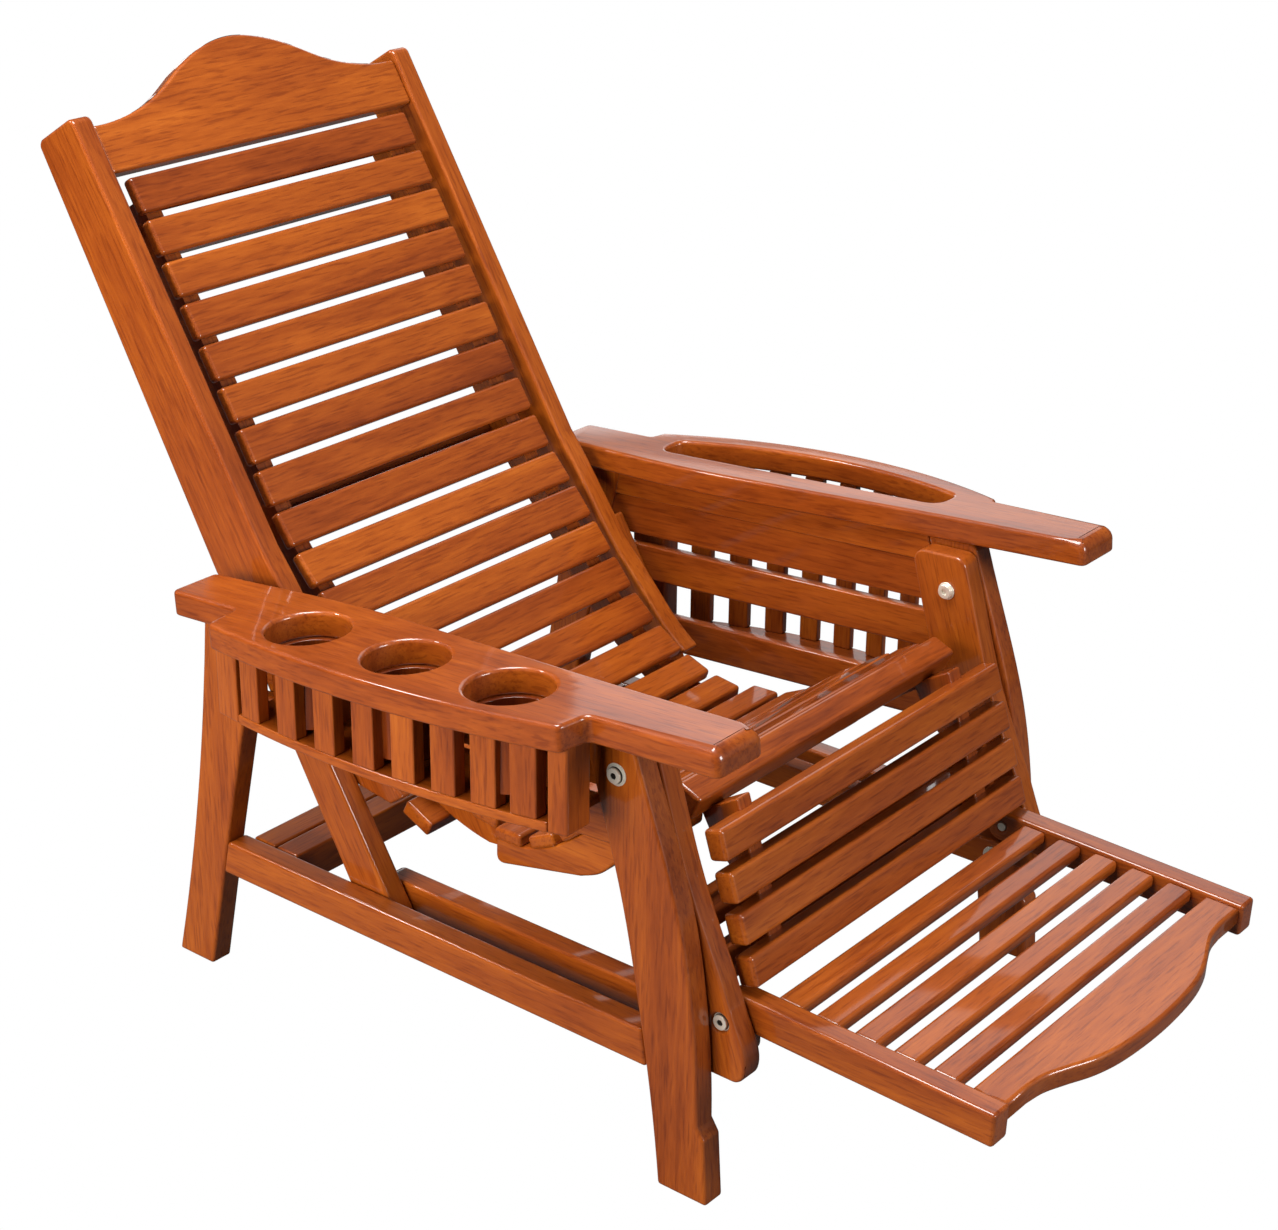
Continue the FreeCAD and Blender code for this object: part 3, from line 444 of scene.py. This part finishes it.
def armrest(name, side, rise, holes):
    """A broad arm whose bulge stands out by rise between its notches."""
    notch_r = min(9.0, 0.4 * (BULGE_MAX - rise - (NOSE_X + TAIL_X) / 2))
    inner = curve(INNER_EDGE)
    ring = inner + [(TAIL_X, TAIL_Y), (TAIL_X, NOTCH_REAR)] + bulge(rise, BULGE_REAR, BULGE_FRONT)
    ring += [(NOSE_X, NOTCH_FRONT), (NOSE_X, NOSE_Y)]
    tail, nose = len(inner), len(ring) - 1
    ring = eased(ring, {0: 9, tail - 1: 9, tail: 9, tail + 1: notch_r, tail + 2: notch_r,
                        nose - 2: notch_r, nose - 1: notch_r, nose: 11})
    bm = bmesh.new()
    rimmed(bm, ring, holes, ARM_T, LOWER_RIM, nose_rim, lambda x, y, z: on_arm(side * x, y, z))
    drawn(bm, name, ARM)


def cup(name, y):
    """A turned well that hangs under its hole by a thin flange."""
    y /= math.cos(ARM_FALL)
    bm = bmesh.new()
    line = [bm.verts.new(on_arm(-CUP_X - r, y, z)) for r, z in WELL_PROFILE]
    edges = [bm.edges.new(pair) for pair in zip(line, line[1:])]
    bmesh.ops.spin(bm, geom=line + edges, cent=on_arm(-CUP_X, y, 0), angle=math.tau, steps=72,
                   axis=on_arm(0, 0, 1) - on_arm(0, 0, 0), use_merge=True)
    bmesh.ops.remove_doubles(bm, verts=bm.verts, dist=5e-5)
    # The whole well is drawn darker, at shade -0.16: painted shade for the shadow down in it
    drawn(bm, name, Z, radius=0.8, spread=0.0, shade=-0.16)


armrest("armrest_cups", -1, CUP_RISE, [circle(CUP_X, y / math.cos(ARM_FALL), HOLE_R) for _, y in CUPS])
arc = bulge(SLOT_RISE, SLOT_FRONT, SLOT_REAR, SLOT_WALL)
slot = arc + [(307.0, SLOT_REAR), (312.0, SLOT_FRONT)]
corners = {0: 15, len(arc) - 1: 15, len(arc): 20, len(arc) + 1: 20}
armrest("armrest_slot", 1, SLOT_RISE, [eased(slot, corners)])
for name, y in CUPS:
    cup(name, y)


# Racks under the armrests
RACK_INSET = 14.0                   # from the arm's outline to the rack's outside
RACK_INSIDE = 298.0                 # where its floor ends under the arm
RACK_FLOOR_T = 11.0
RACK_GAP = 0.2                      # between its uprights and the arm
FRONT_POST, REAR_POST = (128.5, 150.5), (570.0, 606.0)


def rack(kind, side, rise, floor, slat_width, slat_depth, post_depth, slat_ys):
    """Slats, end posts and floor of a rack whose outside follows the bulge of its arm."""
    def upright(bm, y_from, y_to, depth, drop=0.0):
        ends = [(bulge_x(rise, y, RACK_INSET + d), y)
                for y, d in ((y_from, 0), (y_to, 0), (y_to, depth), (y_from, depth))]
        prism(bm, [spot(side * x, y, floor(y) - drop) for x, y in ends],
              [spot(side * x, y, arm_underside(y) - RACK_GAP) for x, y in ends])

    bm = bmesh.new()
    for y in slat_ys:
        upright(bm, y, y + slat_width, slat_depth)
    drawn(bm, kind + "_rack_slats", Z, radius=2.0, spread=0.06)
    bm = bmesh.new()
    for post in (FRONT_POST, REAR_POST):
        upright(bm, *post, post_depth, RACK_FLOOR_T)
    drawn(bm, kind + "_rack_posts", Z, radius=3.0, spread=0.04)
    y_from, y_to = FRONT_POST[1], REAR_POST[0]
    plan = bulge(rise, y_from, y_to, RACK_INSET) + [(RACK_INSIDE, y_to), (RACK_INSIDE, y_from)]
    bm = bmesh.new()
    prism(bm, [spot(side * x, y, floor(y) - RACK_FLOOR_T) for x, y in plan],
          [spot(side * x, y, floor(y)) for x, y in plan])
    drawn(bm, kind + "_rack_floor", ARM, radius=2.0)


rack("cup", -1, CUP_RISE, floor=lambda y: 411.0 - y * math.tan(math.radians(2.58)),
     slat_width=30.0, slat_depth=16.0, post_depth=34.0,
     slat_ys=[162.0 + 45.5 * k + 1.25 * k * (k - 1) for k in range(8)])
rack("magazine", 1, SLOT_RISE, floor=lambda y: arm_underside(y) - 211.0 / math.cos(ARM_FALL),
     slat_width=25.0, slat_depth=10.0, post_depth=29.0, slat_ys=[180.0 + 49.1 * k for k in range(8)])

# Seat rails: the top follows the seat's slats up to the knee, the underside has a belly
RAIL_SIDES = (200, 223)
seat_line = [(355.0, 252.1), (319.1, 253.6), (283.6, 265.4), (253.8, 284.7), (227.8, 304.6),
             (201.3, 323.1), (174.0, 341.1), (146.6, 358.5), (118.6, 374.9)]
knee = [(114.8, 382.5), (99.4, 369.6)]
belly = [(101.4, 349.6), (118.0, 340.0), (150.0, 316.0), (190.0, 281.0), (215.0, 258.0), (240.0, 246.5)]
heel = (356.0, 221.1)
rail = curve(seat_line, 4) + knee + curve(belly, 5)
rail = eased(rail + [heel], {len(rail): 10})
bm = bmesh.new()
for side in (-1, 1):
    prism(bm, *[[spot(side * x, y, z) for y, z in rail] for x in RAIL_SIDES])
drawn(bm, "seat_rails", Y, radius=3.0)

# Footrest's end board, with an ogee front
FOOT_PIVOT = (13.5, 194.5)
FOOT_TURN = math.radians(2.1)
FOOT_TOP = 15.25                    # from the hinge up to the top of the footrest's boards
BOARD_HALF, BOARD_FRONT, BOARD_REAR = 229.0, -274.0, -235.5


def on_footrest(x, y, z):
    """The footrest is drawn level, then turned a little about its hinge."""
    y, z = y - FOOT_PIVOT[0], z + FOOT_TOP
    return spot(x, FOOT_PIVOT[0] + y * math.cos(FOOT_TURN) - z * math.sin(FOOT_TURN),
                FOOT_PIVOT[1] + y * math.sin(FOOT_TURN) + z * math.cos(FOOT_TURN))


half = [(0.0, -312.0), (64.0, -308.5), (106.0, -300.0), (140.0, -286.5), (165.0, -277.5),
        (190.0, BOARD_FRONT)]
ogee = curve([(-x, y) for x, y in half[:0:-1]] + half, 6)
board = ogee + [(BOARD_HALF, BOARD_FRONT), (BOARD_HALF, BOARD_REAR), (-BOARD_HALF, BOARD_REAR),
                (-BOARD_HALF, BOARD_FRONT)]
bm = bmesh.new()
rimmed(bm, board, [], thickness=22.0, lower=4.0, upper=lambda point: 4.5, place=on_footrest)
drawn(bm, "footrest_end_board", X)

# Boards from the frame. These fits set the knee's slat and the calf's four apart from their solids
KNEE_FIT = {0: (0, 9, -17)}
CALF_FITS = {0: (2.5, 8, 0), 1: (6, 8, 0), 2: (8.5, 8, 0), 3: (12, 8, 0)}

for name in ("back_slats", "valley_slats", "footrest_slats"):
    slats(name)
slats("seat_slats", fits=KNEE_FIT)
slats("calf_slats", fits=CALF_FITS)
for name in ("back_battens", "calf_cross_rails"):
    slats(name, radius=3.0)
for side in ("cup_side", "rack_side"):
    for name, grain, radius in (("front_leg_", Z, 4.0), ("rear_leg_", Z, 4.0), ("lower_rail_", Y, 4.0),
                                ("back_stile_", BACK, 4.0), ("leg_rest_arm_", CALF, 3.2)):
        timber(merged(name + side), name + side, grain, radius)
for name, grain, radius in (
        ("cross_rail_front", X, 3.0), ("cross_rail_rear", X, 3.0), ("apron_strips", ARM, 1.5),
        ("upper_side_boards", ARM, 1.5), ("middle_side_boards", ARM, 3.0),
        ("lower_side_board", ARM, 3.0), ("crest_rail", X, 4.0), ("back_bearers", BACK, 2.0),
        ("push_rods", Y, 3.0), ("calf_bearers", CALF, 2.5), ("footrest_rails", Y, 4.0)):
    timber(merged(name), name, grain, radius)

# The front of the stiles stands at y = STILE_FOOT + STILE_LEAN * z. The levers' tops end flush with it
STILE_FOOT, STILE_LEAN = 354, 0.609

levers = merged("back_levers")
cut = bmesh.ops.bisect_plane(levers, geom=levers.verts[:] + levers.edges[:] + levers.faces[:],
                             plane_co=spot(0, STILE_FOOT, 0), plane_no=(0, -1, STILE_LEAN),
                             clear_outer=True)
bmesh.ops.holes_fill(levers, edges=[e for e in cut["geom_cut"] if isinstance(e, bmesh.types.BMEdge)])
timber(levers, "back_levers", LEVER, 4.0)


# Bolts and pins
RIM_R = 7.9                         # a head's edges further out than this are its rims
HEAD_DOME, SOCKET_EDGE = 2.2, 0.4
# The parts painted dark as shade, by distance from the axis and depth below the head's face
SOCKET_R, SOCKET_DEPTHS = 5.5, (0.6, 4)
SHADE_RING_RADII, SHADE_RING_DEPTHS = (7.5, 8.6), (3, 4.5)
WASHER_R, WASHER_T = 11.6, 1.6
WASHER_X = 0.313                    # in metres, like the frame's own places
SEAT_PIN_R, SEAT_PIN_LENGTH = 5, 40
SEAT_PIN = (197, 340, 240)


def rod(bm, middle, radius, length, segments):
    """A round bar or disc that lies across the chair."""
    place = Matrix.Translation(middle) @ Matrix.Rotation(math.pi / 2, 4, "Y")
    bmesh.ops.create_cone(bm, cap_ends=True, segments=segments, radius1=radius * MM,
                          radius2=radius * MM, depth=length * MM, matrix=place)


def bolts(name, washers=()):
    """Bolts with domed heads and sharp hexagon sockets, and washers at the given x places."""
    bm = merged(name)
    painted_shade = bm.verts.layers.float.new("painted_shade")
    for group in islands(bm):
        ys, zs = [v.co.y for v in group], [v.co.z for v in group]
        middle = Vector((0, (min(ys) + max(ys)) / 2, (min(zs) + max(zs)) / 2))
        outward = group[0].co.x
        face = max(abs(v.co.x) for v in group)

        def reach(vert):
            return ((vert.co - middle) * (Y + Z)).length / MM

        def near(edge):
            return min(reach(vert) for vert in edge.verts)

        edges = {e for v in group for e in v.link_edges if e.calc_face_angle(0) > BOLT_CORNER}
        rims = [e for e in edges if near(e) > RIM_R]
        socket = sorted(edges - set(rims), key=near)
        for chosen, radius, segments in ((rims, HEAD_DOME, 5), (socket, SOCKET_EDGE, 1)):
            round_over(bm, [e for e in chosen if e.is_valid], radius, segments, clamp=True)
        # Painted shade: the inside of the socket and a ring under the head are marked dark
        for vert in bm.verts:
            depth = (face - abs(vert.co.x)) / MM
            in_socket = reach(vert) < SOCKET_R and SOCKET_DEPTHS[0] < depth < SOCKET_DEPTHS[1]
            under_head = (SHADE_RING_RADII[0] < reach(vert) < SHADE_RING_RADII[1]
                          and SHADE_RING_DEPTHS[0] < depth < SHADE_RING_DEPTHS[1])
            if vert.co.x * outward > 0 and (in_socket or under_head):
                vert[painted_shade] = 1.0
        for x in washers:
            if x * outward > 0:
                rod(bm, Vector((x, middle.y, middle.z)), WASHER_R, WASHER_T, 64)
    finish_piece(bm, name, METAL)


bolts("arm_pivot_bolts", washers=(-WASHER_X, WASHER_X))
for name in ("back_pivot_bolts", "footrest_bolts", "rod_rear_pins", "rod_front_pins"):
    bolts(name)
bm = bmesh.new()
for side in (-1, 1):
    rod(bm, spot(side * SEAT_PIN[0], *SEAT_PIN[1:]), SEAT_PIN_R, SEAT_PIN_LENGTH, 48)
finish_piece(bm, "seat_hinge_pins", METAL)


# Floor, light and camera. The camera sees floor and world as white; they light the chair only faintly
FLOOR_COLOUR = (0.07, 0.07, 0.07, 1)
SKY_LIGHT = 0.08
LOOK_AT = (0, 0.1, 0.5)


def floor():
    bm = bmesh.new()
    bmesh.ops.create_grid(bm, x_segments=1, y_segments=1, size=8.0,
                          matrix=Matrix.Translation((0, 0, -0.5 * MM)))
    mesh = bpy.data.meshes.new("floor")
    bm.to_mesh(mesh)
    bm.free()
    material, tree, shader = new_material("pale_floor")
    shader.inputs["Base Color"].default_value = FLOOR_COLOUR
    shader.inputs["Roughness"].default_value = 0.9
    seen = node(tree, "ShaderNodeLightPath")
    white = node(tree, "ShaderNodeEmission", Strength=1.0)
    mix = node(tree, "ShaderNodeMixShader")
    tree.links.new(seen.outputs["Is Camera Ray"], mix.inputs[0])
    tree.links.new(shader.outputs[0], mix.inputs[1])
    tree.links.new(white.outputs[0], mix.inputs[2])
    tree.links.new(mix.outputs[0], tree.nodes["Material Output"].inputs["Surface"])
    mesh.materials.append(material)
    add_object("floor", mesh)


def sky():
    world = bpy.data.worlds.new("studio")
    world.use_nodes = True
    tree = world.node_tree
    back = tree.nodes["Background"]
    back.inputs["Color"].default_value = (1, 1, 1, 1)
    seen = node(tree, "ShaderNodeLightPath")
    level = node(tree, "ShaderNodeMapRange", To_Min=SKY_LIGHT, To_Max=1.0)
    tree.links.new(seen.outputs["Is Camera Ray"], level.inputs["Value"])
    tree.links.new(level.outputs["Result"], back.inputs["Strength"])
    bpy.context.scene.world = world


def softbox(name, place, target, size, power, mirrored=True):
    """A flat lamp, width and height in metres and power in watts, that faces its target. One that
    isn't mirrored doesn't show in the lacquer."""
    light = bpy.data.lights.new(name, "AREA")
    light.shape = "RECTANGLE"
    light.size, light.size_y = size
    light.energy = power
    lamp = add_object(name, light)
    lamp.location = place
    lamp.rotation_euler = (Vector(target) - Vector(place)).to_track_quat("-Z", "Y").to_euler()
    lamp.visible_glossy = mirrored


def photo_camera(place, azimuth, elevation, roll, lens):
    """A camera that looks azimuth degrees from +Y towards +X and elevation degrees down."""
    azimuth, elevation, roll = [math.radians(angle) for angle in (azimuth, elevation, roll)]
    ahead = Vector((math.sin(azimuth) * math.cos(elevation), math.cos(azimuth) * math.cos(elevation),
                    -math.sin(elevation)))
    right = Vector((math.cos(azimuth), -math.sin(azimuth), 0))
    up = right.cross(ahead)
    side = math.cos(roll) * right + math.sin(roll) * up
    top = -math.sin(roll) * right + math.cos(roll) * up
    camera = bpy.data.cameras.new("camera")
    camera.lens = lens
    camera.sensor_width = 36.0
    camera.clip_end = 50.0
    eye = add_object("camera", camera)
    eye.matrix_world = Matrix.Translation(place) @ Matrix((side, top, -ahead)).transposed().to_4x4()
    bpy.context.scene.camera = eye


floor()
sky()
softbox("overhead", (-0.5, 0.2, 3.0), (0, 0.1, 0.4), (1.3, 1.3), 94)
softbox("key_left", (-2.1, 0.3, 0.9), LOOK_AT, (1.6, 1.3), 66, mirrored=False)
softbox("front", (0.4, -3.4, 1.7), (0, 0, 0.4), (1.3, 1.1), 74)
softbox("behind", (3.1, 1.5, 2.3), (0, 0, 0.4), (2.4, 1.8), 13)
softbox("horizon", (2.6, 2.6, 0.9), LOOK_AT, (2.4, 0.8), 9)
softbox("rim_rear", (-1.5, 2.4, 2.9), (-0.2, 0.1, 0.5), (0.5, 0.5), 30)
photo_camera((-1.9725, -1.5680, 1.5511), azimuth=51.24, elevation=23.84, roll=0.55, lens=72.36)
bpy.context.scene.view_settings.view_transform = "Standard"
